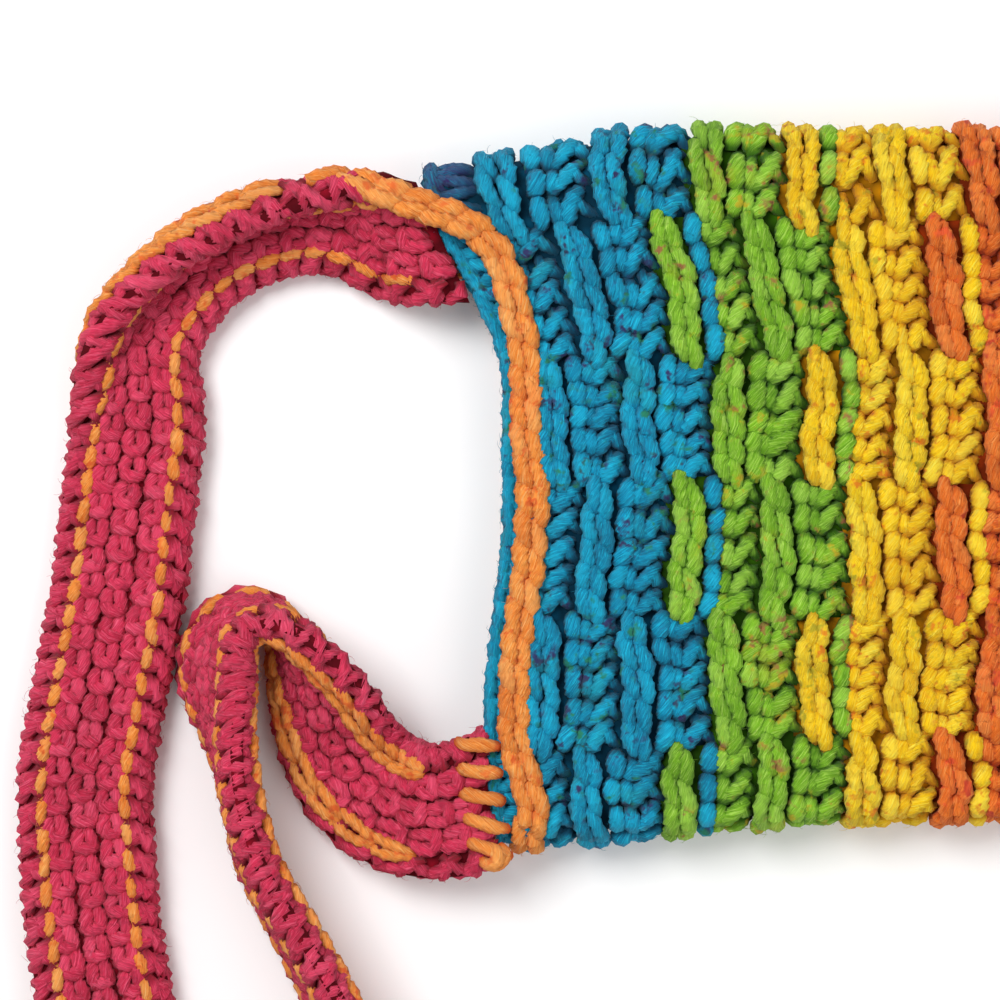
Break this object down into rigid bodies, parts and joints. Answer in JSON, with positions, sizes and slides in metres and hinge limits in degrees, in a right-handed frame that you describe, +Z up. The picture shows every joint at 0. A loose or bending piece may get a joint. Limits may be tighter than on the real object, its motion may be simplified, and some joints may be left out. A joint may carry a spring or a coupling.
{
  "type": "crochet crossbody bag",
  "caption": "Crocheted crossbody bag lying flat: basketweave pouch in bands of coloured yarn, open at one end with a braided rim, and a long looped strap sewn to the mouth's corners.",
  "frame": {"origin": "middle of the bounding box on the surface that the bag lies on", "axes": "+Z up off the surface. The pouch runs from its mouth towards +X, and the strap lies at -X and trails towards -Y. +Y runs along the mouth, from the lower strap joint to the upper one."},
  "size_m": [0.3905, 0.5019, 0.047],
  "materials": {
    "teal_yarn": "matte crocheted yarn",
    "green_yarn": "matte crocheted yarn",
    "yellow_yarn": "matte crocheted yarn",
    "orange_yarn": "matte crocheted yarn",
    "pink_yarn": "matte crocheted yarn",
    "braid_yarn": "matte crocheted yarn"
  },
  "bodies": {
    "root": {"teal_band": "teal_yarn", "green_band": "green_yarn", "yellow_band": "yellow_yarn", "orange_band": "orange_yarn", "pink_base": "pink_yarn", "rim_braid": "braid_yarn", "strap": "pink_yarn", "strap_braid_outer": "braid_yarn", "strap_braid_inner": "braid_yarn", "strap_dashes_outer": "braid_yarn", "strap_dashes_inner": "braid_yarn", "whip_lower_1": "braid_yarn", "whip_lower_2": "braid_yarn", "whip_lower_3": "braid_yarn", "whip_lower_4": "braid_yarn", "whip_lower_5": "braid_yarn", "whip_upper_1": "braid_yarn", "whip_upper_2": "braid_yarn", "whip_upper_3": "braid_yarn"}
  },
  "joints": []
}
